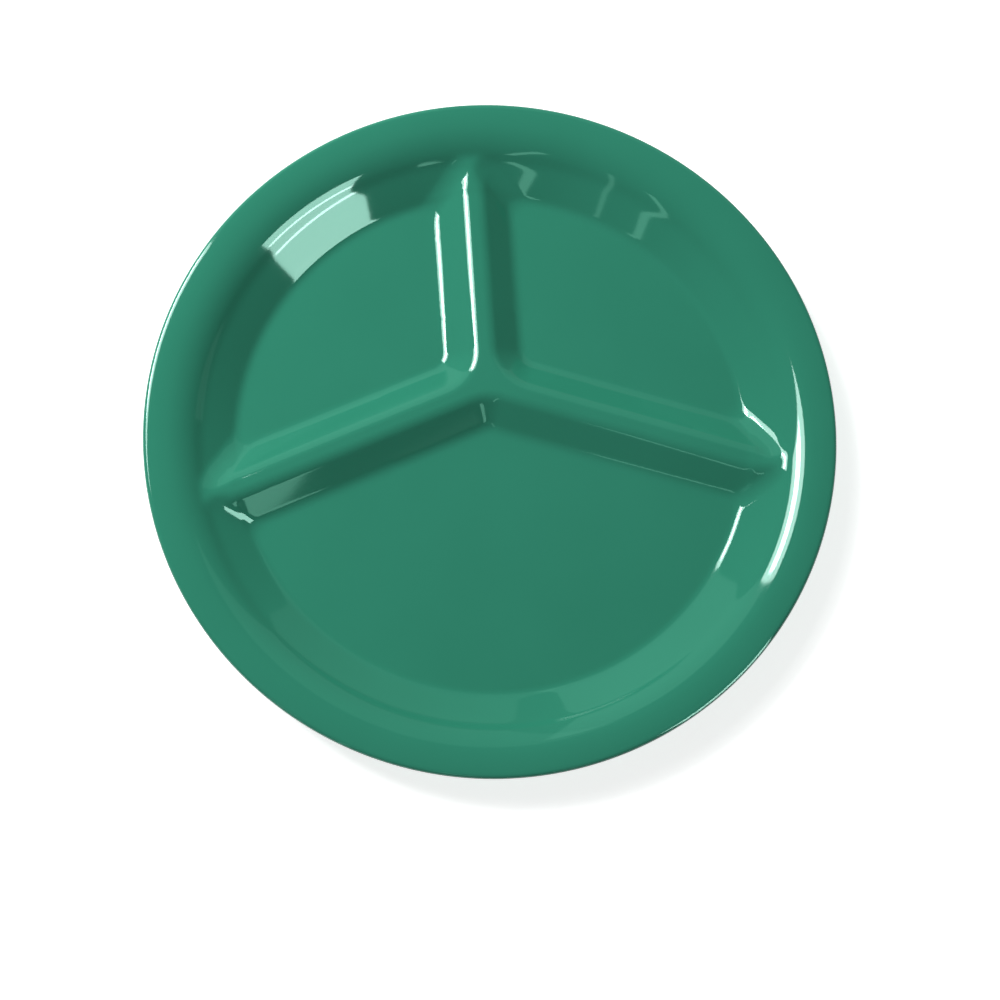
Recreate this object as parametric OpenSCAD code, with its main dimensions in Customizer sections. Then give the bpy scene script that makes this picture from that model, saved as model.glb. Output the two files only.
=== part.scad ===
// Divided compartment plate, round, moulded in one piece.
// The origin is at the centre of the plate, on the surface that it stands on.
// The straight divider points along +Y, and the large compartment lies on the -Y side.

/* [Plate] */
// Diameter over the rim
plate_d = 260.4; // [252:0.2:300]
// Width of the wall and the rim together, from the plate's edge in to the flat floor
wall_w = 34.1; // [31:0.1:45]
// Thickness of the moulding, the same in floor, wall, rim and dividers
wall_t = 3; // [2.2:0.1:4]

/* [Wall and rim] */
// Inside radius between the floor and whatever rises from it
cove_r = 7; // [5:0.5:10]
// Slope of the wall and of the dividers' sides, in degrees
side_slope = 35; // [30:0.5:38]
// Radius with which the wall turns steeper half-way up
kick_r = 20; // [10:1:30]
// Slope at the steepest place of the wall, in degrees
kick_slope = 44; // [40:0.5:50]
// Radius of the shoulder that turns the wall out into the rim
shoulder_r = 20; // [12:1:24]
// Slope at which the shoulder ends and the flatter rim starts, in degrees
rim_slope = 10; // [6:0.5:16]
// Radius across the rim
rim_r = 28; // [20:1:36]
// Slope with which the rim falls to its edge, in degrees
rim_fall = 6; // [2:0.5:12]

/* [Dividers] */
// Height of the dividers above the floor
divider_h = 8.1; // [6:0.1:10]
// Radius over the top of a divider
crown_r = 7.2; // [5:0.2:10]
// Width of the flat strip along the top of a divider
crest_w = 1.8; // [0.7:0.1:3]
// Distance from the plate's centre to the point where the dividers meet
meeting_y = 19.1; // [10:0.5:24]
// Angle between the straight divider and each of the other two, in degrees
divider_angle = 109.5; // [100:0.5:120]
// Radius of each compartment's corners, at the floor
corner_r = 3; // [2:0.5:9]
// Extra radius of the cove and of the divider's top in a corner
corner_ease = 0.3; // [0.2:0.05:0.4]
// Depth by which the rounding of a corner bites into the surfaces beside it
corner_bite = 0.1; // [0.05:0.05:0.15]
// Radius along the edges of the grooves under the dividers
groove_edge_r = 8.5; // [6:0.5:9]

/* [Foot] */
// Distance from the edge of the flat floor in to the middle of the foot ring
foot_in = 7.1; // [4:0.1:21]
// Width of the foot ring
foot_w = 4.4; // [3.6:0.1:6]
// Height of the foot ring below the floor
foot_h = 1.4; // [1:0.1:2.5]
// Radius along both lower edges of the foot ring
foot_edge_r = 0.7; // [0.4:0.1:0.9]

/* [Hidden] */
$fn = 120;
// How far a cut runs past the surface that it opens
overrun = 2;
// Largest step between two points of an arc, in degrees; the corners and the foot's edges have
// their own, so that their lines don't meet those of the surfaces beside them
arc_step = 5;
corner_step = 7;
edge_step = 20;
floor_z = foot_h + wall_t;
floor_r = plate_d / 2 - wall_w;

// The top surface from the floor to the edge, as points [radius, height above the floor]
rim_end_x = plate_d / 2 - wall_t / 2 * (1 - sin(rim_fall));
rim_run = rim_r * (sin(rim_slope) + sin(rim_fall));
shoulder_run = shoulder_r * (sin(kick_slope) - sin(rim_slope));
kick_run = kick_r * (sin(kick_slope) - sin(side_slope));
cove_run = cove_r * sin(side_slope);
wall_run = rim_end_x - rim_run - shoulder_run - kick_run - cove_run - floor_r;
cove_c = [floor_r, cove_r];
wall_foot = cove_c - cove_r * up(side_slope);
wall_top = wall_foot + wall_run * [1, tan(side_slope)];
kick_c = wall_top + kick_r * up(side_slope);
shoulder_c = kick_c - (kick_r + shoulder_r) * up(kick_slope);
rim_c = shoulder_c + (shoulder_r - rim_r) * up(rim_slope);
edge_c = rim_c + (rim_r - wall_t / 2) * up(-rim_fall);

// From a divider's middle to the floor beside it
divider_half = crown_centre(cove_r, crown_r).x + crest_w / 2;

// Where the dividers meet, and the directions of the two dividers beside each compartment
meeting = [0, meeting_y];
compartments = [
    [90, 90 + divider_angle],
    [90 + divider_angle, 450 - divider_angle],
    [90 - divider_angle, 90],
];
// From a divider's middle to the centres of the corners beside it
corner_in = divider_half + corner_r;

function ray(a) = [cos(a), sin(a)];
function up(slope) = [-sin(slope), cos(slope)];
function heading(p) = atan2(p.y, p.x);
// The point where a line from p in direction a crosses the circle of the corners' centres
function at_wall(p, a) =
    let (along = p * ray(a), reach = floor_r - corner_r)
    p + (sqrt(along * along - p * p + reach * reach) - along) * ray(a);

// Centre of the round over a divider's top, as [distance from the floor's edge, height]
function crown_centre(cove, crown) =
    let (flank_rise = divider_h - (cove + crown) * (1 - cos(side_slope)))
    [(cove + crown) * sin(side_slope) + flank_rise / tan(side_slope), divider_h - crown];

// Points along an arc about c, from direction a to direction b
function arc(c, r, a, b, step = arc_step) =
    let (steps = ceil(abs(b - a) / step))
    [for (i = [0:steps]) c + r * ray(a + (b - a) * i / steps)];

module shell_section()
    polygon(concat(
        [[0, 0]],
        arc(cove_c, cove_r, -90, side_slope - 90),
        arc(kick_c, kick_r, side_slope - 90, kick_slope - 90),
        arc(shoulder_c, shoulder_r, 90 + kick_slope, 90 + rim_slope),
        arc(rim_c, rim_r, 90 + rim_slope, 90 - rim_fall),
        arc(edge_c, wall_t / 2, 90 - rim_fall, -90 - rim_fall),
        arc(rim_c, rim_r - wall_t, 90 - rim_fall, 90 + rim_slope),
        arc(shoulder_c, shoulder_r - wall_t, 90 + rim_slope, 90 + kick_slope),
        arc(kick_c, kick_r + wall_t, kick_slope - 90, side_slope - 90),
        arc(cove_c, cove_r + wall_t, side_slope - 90, -90),
        [[0, -wall_t]]
    ));

// The space beside and above one side of a divider, from inner_x to the divider,
// where the floor ends and the cove starts at edge_x
module side_section(inner_x, edge_x, cove, crown, step) {
    c = [edge_x, 0] + crown_centre(cove, crown);
    polygon(concat(
        [[inner_x, 0]],
        arc([edge_x, cove], cove, -90, side_slope - 90, step),
        arc(c, crown, 90 + side_slope, 90, step),
        [[c.x, divider_h + overrun], [inner_x, divider_h + overrun]]
    ));
}

// All the space on one side of a divider; a is the direction from there to the divider
module beside(a)
    translate(meeting) rotate([90, 0, a]) linear_extrude(2 * plate_d, center = true)
        side_section(-plate_d, -divider_half, cove_r, crown_r, arc_step);

// Material that rounds a compartment's corner about the centre c, inside the outline given
module corner(c, outline)
    difference() {
        translate([0, 0, -wall_t / 2]) linear_extrude(wall_t / 2 + divider_h) polygon(outline);
        translate(c) rotate_extrude() side_section(
            0, corner_r + corner_bite, cove_r + corner_ease, crown_r + corner_ease, corner_step);
    }

// The three corners of the compartment between the dividers at angles a and b
module corners(a, b) {
    tip = meeting + corner_in / sin((b - a) / 2) * ray((a + b) / 2);
    corner(tip, [tip, tip + corner_in * ray(a - 90), meeting, tip + corner_in * ray(b + 90)]);
    for (d = [[a, -90], [b, 90]]) {
        c = at_wall(tip, d[0]);
        foot = c + corner_in * ray(d[0] + d[1]);
        corner(c, [c, foot, foot + plate_d * ray(d[0]), c + plate_d * ray(heading(c))]);
    }
}

// The dividers, whose roots and ends lie half-way into the shell
module dividers() {
    root_x = wall_foot.x + (wall_t / 2 / cos(side_slope) - wall_t / 2 - wall_foot.y) / tan(side_slope);
    root_h = divider_h + wall_t / 2;
    intersection() {
        translate([0, 0, -wall_t / 2])
            cylinder(h = root_h, r1 = root_x, r2 = root_x + root_h / tan(side_slope));
        union() {
            difference() {
                translate([0, 0, -wall_t / 2]) cylinder(h = root_h, d = plate_d);
                for (c = compartments) intersection() {
                    beside(c[0] - 90);
                    beside(c[1] + 90);
                }
            }
            for (c = compartments) corners(c[0], c[1]);
        }
    }
}

// The groove under a divider, about one wall thickness inside its surface
module groove_section() {
    roof_c = [0, divider_h - crown_r];
    roof_r = crown_r - wall_t;
    flank = roof_c + roof_r * up(-side_slope) + [crest_w / 2, 0];
    drop = flank.y + wall_t - groove_edge_r * (1 - cos(side_slope));
    edge_x = flank.x + drop / tan(side_slope) + groove_edge_r * sin(side_slope);
    half = concat(
        [[0, -floor_z - overrun], [edge_x, -floor_z - overrun]],
        arc([edge_x, groove_edge_r - wall_t], groove_edge_r, -90, -90 - side_slope),
        arc(roof_c + [crest_w / 2, 0], roof_r, 90 - side_slope, 90),
        [roof_c + [0, roof_r]]
    );
    for (m = [0, 1]) mirror([m, 0]) polygon(half);
}

module grooves()
    for (c = compartments) translate(meeting) rotate([90, 0, c[0] + 90])
        linear_extrude(plate_d / 2) groove_section();

// The foot ring's section, standing on zero and reaching half-way into the floor
module foot_section() {
    inner = [foot_edge_r - foot_w / 2, foot_edge_r];
    outer = [foot_w / 2 - foot_edge_r, foot_edge_r];
    polygon(concat(
        [[-foot_w / 2, foot_h + wall_t / 2]],
        arc(inner, foot_edge_r, 180, 270, edge_step),
        arc(outer, foot_edge_r, 270, 360, edge_step),
        [[foot_w / 2, foot_h + wall_t / 2]]
    ));
}

module foot()
    translate([0, 0, -floor_z]) rotate_extrude() translate([floor_r - foot_in, 0]) foot_section();

module plate()
    color("#30846a") translate([0, 0, floor_z]) difference() {
        union() {
            rotate_extrude() shell_section();
            dividers();
            foot();
        }
        grooves();
    }

plate();
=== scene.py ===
# Divided compartment plate in green melamine, seen from above on a white sweep
import math
import bpy
import numpy as np
from mathutils import Matrix, Vector


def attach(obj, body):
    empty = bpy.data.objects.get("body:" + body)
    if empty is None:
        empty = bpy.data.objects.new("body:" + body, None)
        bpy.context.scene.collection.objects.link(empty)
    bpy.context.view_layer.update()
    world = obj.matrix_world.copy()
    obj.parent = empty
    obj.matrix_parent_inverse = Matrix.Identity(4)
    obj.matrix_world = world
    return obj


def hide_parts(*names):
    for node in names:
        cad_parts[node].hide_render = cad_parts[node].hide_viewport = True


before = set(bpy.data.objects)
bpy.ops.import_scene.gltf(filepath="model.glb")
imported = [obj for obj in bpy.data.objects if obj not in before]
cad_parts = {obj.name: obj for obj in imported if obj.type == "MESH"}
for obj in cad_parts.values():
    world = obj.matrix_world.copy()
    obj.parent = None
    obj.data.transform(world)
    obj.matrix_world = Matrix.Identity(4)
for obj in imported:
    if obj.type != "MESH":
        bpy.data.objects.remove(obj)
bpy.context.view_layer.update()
print("frame loaded")

mm = 0.001
tiny = 1e-6

# camera, fitted to the rim, the dividers and the floor's edge in the photograph
cameraSetup = {
    "target": (0.8 * mm, -27.4 * mm, 17.4 * mm),
    "distance": 643 * mm,
    "tilt": 12.22,     # degrees from straight down
    "turn": -16.83,    # degrees around the plate
    "roll": 13.08,     # degrees about the line of sight
    "lens": 62.1,
    "sensor": 36,
    "nearest": 10 * mm,
}


def facing(back, roll):
    # the axes of a camera or a lamp that looks against back and is rolled about it
    right = Matrix.Rotation(roll, 3, back) @ Vector((0, 0, 1)).cross(back).normalized()
    return Matrix((right, back.cross(right), back)).transposed().to_4x4()


def addCamera(setup):
    tilt, turn, roll = (math.radians(setup[key]) for key in ("tilt", "turn", "roll"))
    back = Vector((math.sin(turn) * math.sin(tilt), -math.cos(turn) * math.sin(tilt), math.cos(tilt)))
    place = Vector(setup["target"]) + setup["distance"] * back
    bpy.ops.object.camera_add()
    camera = bpy.context.object
    camera.matrix_world = Matrix.Translation(place) @ facing(back, roll)
    camera.data.lens = setup["lens"]
    camera.data.sensor_width = setup["sensor"]
    camera.data.clip_start = setup["nearest"]
    bpy.context.scene.camera = camera


addCamera(cameraSetup)
print("camera set")


def deselectAll():
    if bpy.context.object and bpy.context.object.mode != "OBJECT":
        bpy.ops.object.mode_set(mode="OBJECT")
    bpy.ops.object.select_all(action="DESELECT")


# the plate's form in mm and degrees, heights counted from the compartments' floor
plateForm = {
    "diameter": 260.4, "floorDiameter": 191.4, "thickness": 3.0,
    "wallCoveRadius": 6.0, "sideSlope": 35.5,     # sideSlope is the dividers' too
    "kickRadius": 26.0, "kickSlope": 44.0,        # the wall turns steeper half-way up
    "shoulderRadius": 20.0, "rimSlope": 10.0,
    "rimRadius": 34.5, "rimFall": 2.5,
    "dividerHeight": 8.1, "coveRadius": 7.0, "crownRadius": 7.2, "crestWidth": 1.8,
    "meeting": (-1.15, 20.1), "dividerAngle": 109.5, "meetingRadius": 5.0, "cornerRadius": 5.9,
    # the crests rise between liftStart and liftEnd, measured from the centre, and only past
    # crownStart, measured up a divider's side
    "crestLift": 1.7, "liftStart": 98.7, "liftEnd": 113.4, "crownStart": 12.0,
    # the foot fades out over footFade beside a divider
    "footDiameter": 178.0, "footWidth": 4.4, "footHeight": 1.4, "footEdgeRadius": 0.7, "footFade": 3.0,
    # the floor sits a little off centre, which fades out towards the rim
    "floorShift": (0.5, -1.0), "shiftStart": 100.0, "shiftEnd": 122.0,
    "probe": 0.1,    # distance over which a slope is measured
}
# the flat blank that is pressed over the form, from its middle out and back below
plateBlank = {
    "spokes": 480,
    "crowding": 0.5,     # 0 spaces the spokes evenly, 1 crowds them all onto the dividers
    # the rings are centred on the plate from slideEnd out, and further in slide to where dividers meet
    "slideEnd": 84.0,
    "topRings": ((3, 4), (42, 39), (84, 13), (114, 34)),      # (out to mm, rings)
    "rimRings": 18,
    "edgeStep": 20.0,    # degrees
    "underRings": ((114, 10), (95, 16), (91.2, 3)),
    "innerRings": ((84, 3), (42, 8), (3, 16)),
    "footEdgePoints": 5,
    "weldGap": 0.001 * mm,
    "sharpFrom": 50.0,   # degrees
}


def upward(slope):
    return np.array((-math.sin(math.radians(slope)), math.cos(math.radians(slope))))


def arcOf(centre, radius, start, end, count=200):
    angles = np.radians(np.linspace(start, end, count))
    return np.stack((centre[0] + radius * np.cos(angles), centre[1] + radius * np.sin(angles)), 1)


def wallCurve(form):
    # the bowl's section from the floor's edge out: cove, wall, steeper kick, shoulder, rim
    slopes = ("sideSlope", "kickSlope", "rimSlope", "rimFall")
    side, kick, rim, fall = (math.radians(form[key]) for key in slopes)
    endX = form["diameter"] / 2 - form["thickness"] / 2 * (1 - math.sin(fall))
    run = form["rimRadius"] * (math.sin(rim) + math.sin(fall))
    run += form["shoulderRadius"] * (math.sin(kick) - math.sin(rim))
    run += form["kickRadius"] * (math.sin(kick) - math.sin(side))
    coveCentre = np.array((form["floorDiameter"] / 2, form["wallCoveRadius"]))
    foot = coveCentre - form["wallCoveRadius"] * upward(form["sideSlope"])
    top = foot + (endX - run - foot[0]) * np.array((1, math.tan(side)))
    kickCentre = top + form["kickRadius"] * upward(form["sideSlope"])
    radii = form["kickRadius"] + form["shoulderRadius"]
    shoulderCentre = kickCentre - radii * upward(form["kickSlope"])
    rimCentre = shoulderCentre + (form["shoulderRadius"] - form["rimRadius"]) * upward(form["rimSlope"])
    end = rimCentre + form["rimRadius"] * upward(-form["rimFall"])
    beyond = end + form["thickness"] * np.array((math.cos(fall), -math.sin(fall)))
    return np.concatenate((
        ((0, 0),),
        arcOf(coveCentre, form["wallCoveRadius"], -90, form["sideSlope"] - 90),
        arcOf(kickCentre, form["kickRadius"], form["sideSlope"] - 90, form["kickSlope"] - 90),
        arcOf(shoulderCentre, form["shoulderRadius"], 90 + form["kickSlope"], 90 + form["rimSlope"]),
        arcOf(rimCentre, form["rimRadius"], 90 + form["rimSlope"], 90 - form["rimFall"]),
        (beyond,),
    )), end[0]


def dividerCurve(form):
    # one side of a divider, by distance from the floor's edge: cove, flank, crown
    side = math.radians(form["sideSlope"])
    radii = form["coveRadius"] + form["crownRadius"]
    rise = form["dividerHeight"] - radii * (1 - math.cos(side))
    crownX = radii * math.sin(side) + rise / math.tan(side)
    crownCentre = (crownX, form["dividerHeight"] - form["crownRadius"])
    return np.concatenate((
        arcOf((0, form["coveRadius"]), form["coveRadius"], -90, form["sideSlope"] - 90),
        arcOf(crownCentre, form["crownRadius"], 90 + form["sideSlope"], 90),
    )), crownX + form["crestWidth"] / 2


wall, rimEnd = wallCurve(plateForm)
side, dividerHalf = dividerCurve(plateForm)
meeting = np.array(plateForm["meeting"])
dividerRays = [90, 90 + plateForm["dividerAngle"], 450 - plateForm["dividerAngle"], 450]    # degrees


def ray(angle):
    return np.array((math.cos(math.radians(angle)), math.sin(math.radians(angle))))


def outsideCorner(first, second, alignment, radius):
    # the greater of two distances, outside a corner that is rounded with this radius; alignment
    # is the cosine of the angle between the directions in which the two grow
    across, along = first + radius, second + radius
    length = np.sqrt((across ** 2 + along ** 2 - 2 * across * along * alignment) / (1 - alignment ** 2))
    inCorner = (across > along * alignment) & (along > across * alignment)
    return np.where(inCorner, length - radius, np.maximum(first, second))


def evenlyRounded(first, second, alignment, radius):
    # the same, where the level lines turn with one radius at every distance
    sine, cosine = np.sqrt((1 - alignment) / 2), np.sqrt((1 + alignment) / 2)
    gap = np.abs(first - second)
    turn = np.sqrt(np.maximum(radius ** 2 - (gap / np.maximum(2 * sine, tiny)) ** 2, 0))
    rounded = (first + second) / 2 + radius - cosine * turn
    return np.where(gap < 2 * radius * sine ** 2, rounded, np.maximum(first, second))


def floorDistance(points):
    # how far a point lies outside the floor of its compartment
    radius = np.linalg.norm(points, axis=1)
    outward = points / np.maximum(radius, tiny)[:, None]
    away = points - meeting
    distance = np.zeros(len(points))
    for start, end in zip(dividerRays, dividerRays[1:]):
        toStart, toEnd = ray(start - 90), ray(end + 90)
        inside = (away @ toStart <= tiny) & (away @ toEnd <= tiny)
        first, last = dividerHalf + away @ toStart, dividerHalf + away @ toEnd
        sides = outsideCorner(first, last, toStart @ toEnd, plateForm["meetingRadius"])
        alignment = np.where(first > last, outward @ toStart, outward @ toEnd)
        atWall = radius - plateForm["floorDiameter"] / 2
        pocket = evenlyRounded(sides, atWall, alignment, plateForm["cornerRadius"])
        distance[inside] = pocket[inside]
    return distance


def smoothShare(values, start, end):
    share = np.clip((values - start) / (end - start), 0, 1)
    return share ** 2 * (3 - 2 * share)


def dividerHeight(distance, radius):
    # a divider's crest rises a little before it runs into the wall
    lift = plateForm["crestLift"] * smoothShare(radius, plateForm["liftStart"], plateForm["liftEnd"])
    lift *= smoothShare(distance, plateForm["crownStart"], dividerHalf)
    return np.interp(distance, *side.T) + lift


def formHeight(points):
    # the wall's own section, and what the dividers add to it
    radius = np.linalg.norm(points, axis=1)
    alone = dividerHeight(radius - plateForm["floorDiameter"] / 2, radius)
    return dividerHeight(floorDistance(points), radius) + np.interp(radius, *wall.T) - alone


def formSurface(points, reach):
    # points on the form and the directions that stand square on it
    eastward, northward = np.array((reach, 0)), np.array((0, reach))
    east = (formHeight(points + eastward) - formHeight(points - eastward)) / (2 * reach)
    north = (formHeight(points + northward) - formHeight(points - northward)) / (2 * reach)
    normals = np.stack((-east, -north, np.ones(len(points))), 1)
    normals /= np.linalg.norm(normals, axis=1)[:, None]
    return np.column_stack((points, formHeight(points))), normals


def ringRadii(start, bands):
    radii = []
    for end, count in bands:
        radii += list(np.linspace(start, end, count + 1)[1:])
        start = end
    return radii


def footSection(form, edgePoints):
    # the foot ring's rounded section, outside first, as (radius, drop below the underside)
    middle, half, round = form["footDiameter"] / 2, form["footWidth"] / 2, form["footEdgeRadius"]
    depth = form["footHeight"] - round
    outer = arcOf((middle + half - round, depth), round, 0, 90, edgePoints)
    inner = arcOf((middle - half + round, depth), round, 90, 180, edgePoints)
    return [(middle + half, 0), *outer, *inner, (middle - half, 0)]


def blankSection(form, blank):
    # half the blank's outline as (radius, height), top middle to bottom middle
    section = [(0, 0)]
    section += [(radius, 0) for radius in ringRadii(0, blank["topRings"])]
    section += [(radius, 0) for radius in ringRadii(section[-1][0], ((rimEnd, blank["rimRings"]),))]
    half = form["thickness"] / 2
    steps = round(180 / blank["edgeStep"]) + 1
    section += list(arcOf((rimEnd, -half), half, 90, -90, steps)[1:])
    section += [(radius, -2 * half) for radius in ringRadii(rimEnd, blank["underRings"])]
    section.pop()
    section += [(radius, -2 * half - drop) for radius, drop in footSection(form, blank["footEdgePoints"])]
    section += [(radius, -2 * half) for radius in ringRadii(section[-1][0], blank["innerRings"])]
    return section + [(0, -2 * half)]


def spinBlank(name, section, blank):
    deselectAll()
    bpy.ops.mesh.primitive_plane_add(size=mm)
    plate = bpy.context.object
    plate.name = plate.data.name = name
    bpy.ops.object.mode_set(mode="EDIT")
    bpy.ops.mesh.merge(type="CENTER")
    for (x, z), (nextX, nextZ) in zip(section, section[1:]):
        step = ((nextX - x) * mm, 0, (nextZ - z) * mm)
        bpy.ops.mesh.extrude_region_move(TRANSFORM_OT_translate={"value": step})
    bpy.ops.mesh.select_all(action="SELECT")
    bpy.ops.mesh.spin(steps=blank["spokes"], angle=2 * math.pi, center=(0, 0, 0), axis=(0, 0, 1))
    bpy.ops.mesh.select_all(action="SELECT")
    bpy.ops.mesh.remove_doubles(threshold=blank["weldGap"])
    bpy.ops.mesh.normals_make_consistent(inside=False)
    bpy.ops.object.mode_set(mode="OBJECT")
    return plate


def slideRings(radius, angle, blank):
    # rings start round the point where the dividers meet, and a spoke stays on each divider's middle
    slid = smoothShare(radius, 0, blank["slideEnd"])[:, None] * meeting
    crossings = []
    for direction in dividerRays:
        along = slid @ ray(direction)
        reach = np.sqrt(np.maximum(radius ** 2 - np.sum(slid ** 2, 1) + along ** 2, 0)) - along
        crossing = slid + reach[:, None] * ray(direction)
        turned = np.degrees(np.arctan2(crossing[:, 1], crossing[:, 0]))
        crossings.append(direction + (turned - direction + 180) % 360 - 180)
    angle = (angle - dividerRays[0]) % 360 + dividerRays[0]
    moved = np.zeros(len(angle))
    for k, (start, end) in enumerate(zip(dividerRays, dividerRays[1:])):
        part = (angle - start) / (end - start)
        crowded = part - blank["crowding"] * np.sin(2 * math.pi * part) / (2 * math.pi)
        here = (part >= 0) & (part <= 1)
        moved[here] = (crossings[k] + (crossings[k + 1] - crossings[k]) * crowded)[here]
    spokes = np.stack((np.cos(np.radians(moved)), np.sin(np.radians(moved))), 1)
    return radius[:, None] * spokes + meeting - slid


def pressBlank(plate, form, blank):
    flat = np.zeros(3 * len(plate.data.vertices))
    plate.data.vertices.foreach_get("co", flat)
    flat = flat.reshape(-1, 3) / mm
    radius = np.hypot(flat[:, 0], flat[:, 1])
    points = slideRings(radius, np.degrees(np.arctan2(flat[:, 1], flat[:, 0])), blank)
    surface, normals = formSurface(points, form["probe"])
    drop = np.minimum(flat[:, 2] + form["thickness"], 0)
    height = flat[:, 2] - drop * (1 - smoothShare(-floorDistance(points), 0, form["footFade"]))
    pressed = surface + height[:, None] * normals
    shifted = 1 - smoothShare(np.linalg.norm(points, axis=1), form["shiftStart"], form["shiftEnd"])
    pressed[:, :2] += shifted[:, None] * form["floorShift"]
    pressed[:, 2] += form["thickness"] + form["footHeight"]
    plate.data.vertices.foreach_set("co", (pressed * mm).ravel())
    plate.data.update()


mouldedPlate = spinBlank("mouldedPlate", blankSection(plateForm, plateBlank), plateBlank)
pressBlank(mouldedPlate, plateForm, plateBlank)
bpy.ops.object.shade_smooth_by_angle(angle=math.radians(plateBlank["sharpFrom"]))
print("plate pressed,", len(mouldedPlate.data.polygons), "faces")


def linear(hexCode):
    # sRGB hex to the linear colour that a socket takes
    parts = [int(hexCode[i:i + 2], 16) / 255 for i in (1, 3, 5)]
    return [c / 12.92 if c <= 0.04045 else ((c + 0.055) / 1.055) ** 2.4 for c in parts] + [1]


def addNode(tree, kind, settings=None, inputs=None, links=None):
    node = tree.nodes.new(kind)
    for key, value in (settings or {}).items():
        setattr(node, key, value)
    for key, value in (inputs or {}).items():
        node.inputs[key].default_value = value
    for key, source in (links or {}).items():
        tree.links.new(source, node.inputs[key])
    return node


def newMaterial(name):
    material = bpy.data.materials.new(name)
    material.use_nodes = True
    material.node_tree.nodes.clear()
    return material


# melamine resin, compression-moulded against polished steel: deep even colour under a hard gloss
melamineFinish = {
    "colour": "#2f846b",
    "paler": "#338a71",
    "mottle": 40 * mm,           # across a cloud of the paler colour
    "roughness": 0.05,
    "ior": 1.65,
    "tint": "#dcfff6",
    "waviness": 9 * mm,          # from wave to wave, as left by the press
    "wavinessDepth": 0.004 * mm,
}


def mouldedMelamine(finish):
    material = newMaterial("mouldedMelamine")
    tree = material.node_tree
    place = addNode(tree, "ShaderNodeTexCoord").outputs["Object"]
    cloud = addNode(
        tree, "ShaderNodeTexNoise",
        inputs={"Scale": 1 / finish["mottle"], "Detail": 3}, links={"Vector": place},
    )
    colour = addNode(tree, "ShaderNodeMix", {"data_type": "RGBA"}, links={0: cloud.outputs["Fac"]})
    colour.inputs[6].default_value = linear(finish["colour"])
    colour.inputs[7].default_value = linear(finish["paler"])
    wave = addNode(
        tree, "ShaderNodeTexNoise",
        inputs={"Scale": 1 / finish["waviness"], "Detail": 1}, links={"Vector": place},
    )
    bump = addNode(
        tree, "ShaderNodeBump",
        inputs={"Distance": finish["wavinessDepth"]}, links={"Height": wave.outputs["Fac"]},
    )
    shader = addNode(
        tree, "ShaderNodeBsdfPrincipled",
        inputs={
            "Roughness": finish["roughness"], "IOR": finish["ior"],
            "Specular Tint": linear(finish["tint"]),
        },
        links={"Base Color": colour.outputs[2], "Normal": bump.outputs["Normal"]},
    )
    addNode(tree, "ShaderNodeOutputMaterial", links={"Surface": shader.outputs["BSDF"]})
    return material


mouldedPlate.data.materials.clear()
mouldedPlate.data.materials.append(mouldedMelamine(melamineFinish))
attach(mouldedPlate, "root")
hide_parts("plate")
print("plate finished")


def seenBy(tree, kinds):
    # 1 where the backdrop is met by these kinds of ray, which see it white, and 0 for the rest
    paths = addNode(tree, "ShaderNodeLightPath").outputs
    seen = paths[kinds[0]]
    for kind in kinds[1:]:
        greater = addNode(
            tree, "ShaderNodeMath", {"operation": "MAXIMUM"}, links={0: seen, 1: paths[kind]},
        )
        seen = greater.outputs[0]
    return seen


# white sweep under the plate, painted, with a glow that only those rays meet
sweepSetup = {
    "size": 6.0, "colour": "#e6e6e6", "glow": 0.78,
    "whiteTo": ("Is Camera Ray", "Is Glossy Ray", "Is Transmission Ray"),
}


def addSweep(setup):
    deselectAll()
    bpy.ops.mesh.primitive_plane_add(size=setup["size"])
    sweep = bpy.context.object
    sweep.name = "sweep"
    material = newMaterial("paintedSweep")
    tree = material.node_tree
    seen = seenBy(tree, setup["whiteTo"])
    glow = addNode(tree, "ShaderNodeMath", {"operation": "MULTIPLY"}, {1: setup["glow"]}, {0: seen})
    paint = addNode(tree, "ShaderNodeBsdfDiffuse", inputs={"Color": linear(setup["colour"])})
    light = addNode(tree, "ShaderNodeEmission", links={"Strength": glow.outputs[0]})
    both = addNode(tree, "ShaderNodeAddShader", links={0: paint.outputs[0], 1: light.outputs[0]})
    addNode(tree, "ShaderNodeOutputMaterial", links={"Surface": both.outputs[0]})
    sweep.data.materials.append(material)


addSweep(sweepSetup)

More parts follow.
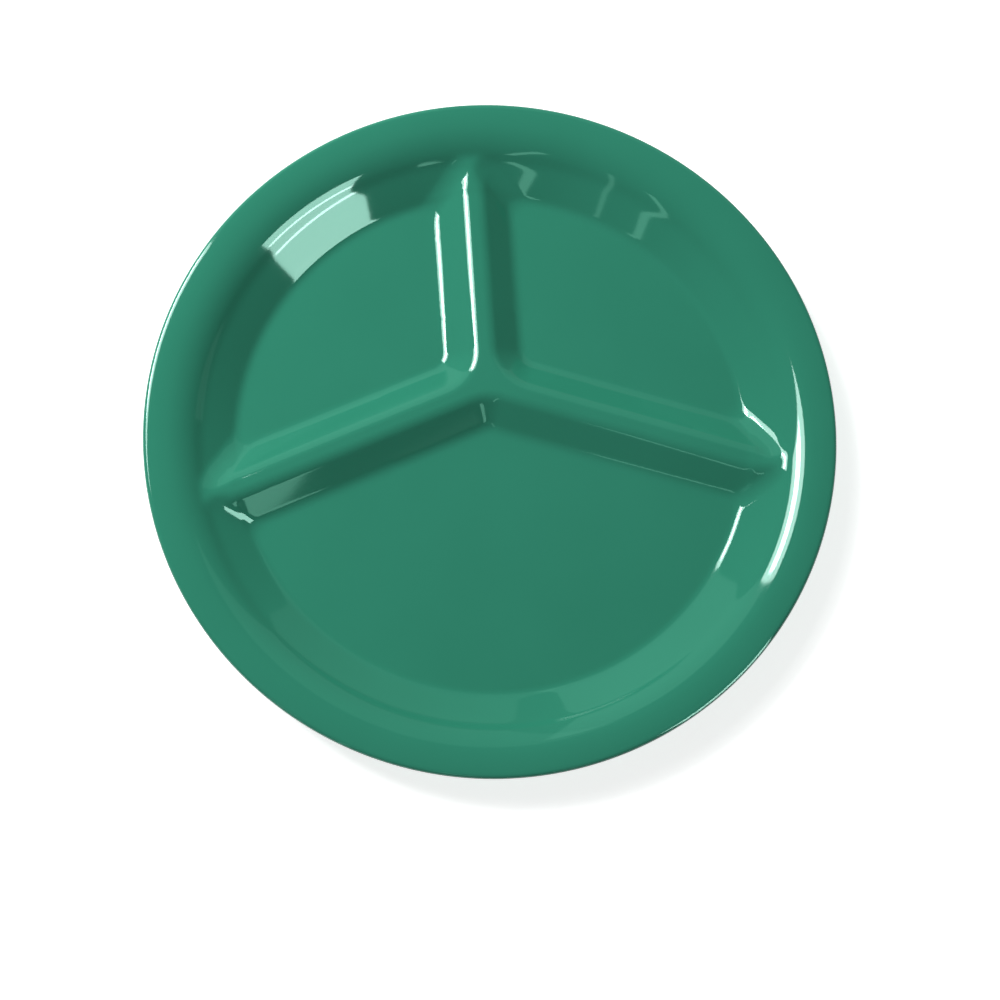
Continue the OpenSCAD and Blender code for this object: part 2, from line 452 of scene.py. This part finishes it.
# lamps and reflecting cards, each aimed at the plate's middle: direction around the plate, angle from
# straight up and turn about that line in degrees, then metres; what is onlyGloss lights nothing
white, palerGreen, paleGreen = "#ffffff", "#e4fff6", "#c0ffe9"
softboxes = {
    # the main lamp and the bright middle of its cloth
    "keyBox": {
        "around": 139.7, "fromTop": 40.5, "turn": 3.2, "distance": 1.2, "size": (0.427, 0.603),
        "radiance": 9.5, "colour": white, "onlyGloss": False,
    },
    "keyCore": {
        "around": 139.7, "fromTop": 40.5, "turn": 3.2, "distance": 1.19, "size": (0.36, 0.2),
        "radiance": 32, "colour": white, "onlyGloss": False,
    },
    # the low lamp, whose mirror image is the patch on the wall, and the tube that shows in it
    "lowBox": {
        "around": -40.6, "fromTop": 58, "turn": -4, "distance": 1.2, "size": (0.44, 0.78),
        "radiance": 8.4, "colour": palerGreen, "onlyGloss": True,
    },
    "lowTube": {
        "around": -40.6, "fromTop": 53.7, "turn": -4, "distance": 1.15, "size": (0.41, 0.07),
        "radiance": 10, "colour": white, "onlyGloss": True,
    },
    # cards, whose mirror images are the pale veils on the walls and the dividers
    "farCard": {
        "around": 111, "fromTop": 64.3, "turn": 0, "distance": 1.5, "size": (0.92, 1.28),
        "radiance": 0.61, "colour": paleGreen, "onlyGloss": False,
    },
    "topCard": {
        "around": 67, "fromTop": 60, "turn": 0, "distance": 1.5, "size": (1.09, 1.4),
        "radiance": 0.3, "colour": paleGreen, "onlyGloss": False,
    },
    "rightCard": {
        "around": -8, "fromTop": 77, "turn": 0, "distance": 1.5, "size": (0.92, 0.53),
        "radiance": 0.3, "colour": paleGreen, "onlyGloss": False,
    },
    "nearCard": {
        "around": 300, "fromTop": 70, "turn": 0, "distance": 1.5, "size": (0.69, 0.64),
        "radiance": 0.27, "colour": paleGreen, "onlyGloss": False,
    },
    # stands and edges in the studio, which show as thin figures on the far wall and at the dividers
    "nearBar": {
        "around": 284.5, "fromTop": 57, "turn": 20, "distance": 1.5, "size": (0.2, 0.09),
        "radiance": 1.8, "colour": paleGreen, "onlyGloss": True, "shape": "ELLIPSE",
    },
    "leftBar": {
        "around": 222.4, "fromTop": 53, "turn": -9, "distance": 1.5, "size": (0.05, 0.6),
        "radiance": 1.7, "colour": paleGreen, "onlyGloss": True,
    },
    "middleBar": {
        "around": 237, "fromTop": 53, "turn": 0, "distance": 1.5, "size": (0.03, 0.6),
        "radiance": 1.2, "colour": paleGreen, "onlyGloss": True,
    },
    "rightBar": {
        "around": 261, "fromTop": 45, "turn": 25, "distance": 1.5, "size": (0.06, 0.38),
        "radiance": 2, "colour": paleGreen, "onlyGloss": True,
    },
}


def addSoftbox(name, box):
    fromTop, around = math.radians(box["fromTop"]), math.radians(box["around"])
    outward = math.sin(fromTop)
    back = Vector((outward * math.cos(around), outward * math.sin(around), math.cos(fromTop)))
    deselectAll()
    bpy.ops.object.light_add(type="AREA")
    lamp = bpy.context.object
    lamp.name = name
    axes = facing(back, math.radians(box["turn"]))
    lamp.matrix_world = Matrix.Translation(box["distance"] * back) @ axes
    lamp.data.shape = box.get("shape", "RECTANGLE")
    lamp.data.size, lamp.data.size_y = box["size"]
    lamp.data.energy = box["radiance"] * math.pi * box["size"][0] * box["size"][1]
    lamp.data.color = linear(box["colour"])[:3]
    lamp.visible_diffuse = not box["onlyGloss"]


for name, box in softboxes.items():
    addSoftbox(name, box)


# the room: white to the camera, and dim on the plate, whose gloss mirrors a dark studio
roomSetup = {
    "seen": 1.0, "fill": 0.09, "colour": white,
    "whiteTo": ("Is Camera Ray", "Is Transmission Ray"),
}


def lightRoom(setup):
    world = bpy.data.worlds.new("room")
    bpy.context.scene.world = world
    world.use_nodes = True
    tree = world.node_tree
    tree.nodes.clear()
    strength = addNode(
        tree, "ShaderNodeMapRange",
        inputs={"To Min": setup["fill"], "To Max": setup["seen"]},
        links={"Value": seenBy(tree, setup["whiteTo"])},
    )
    sky = addNode(
        tree, "ShaderNodeBackground",
        inputs={"Color": linear(setup["colour"])}, links={"Strength": strength.outputs[0]},
    )
    addNode(tree, "ShaderNodeOutputWorld", links={"Surface": sky.outputs[0]})


lightRoom(roomSetup)
bpy.context.scene.view_settings.view_transform = "Standard"
print("lights set")
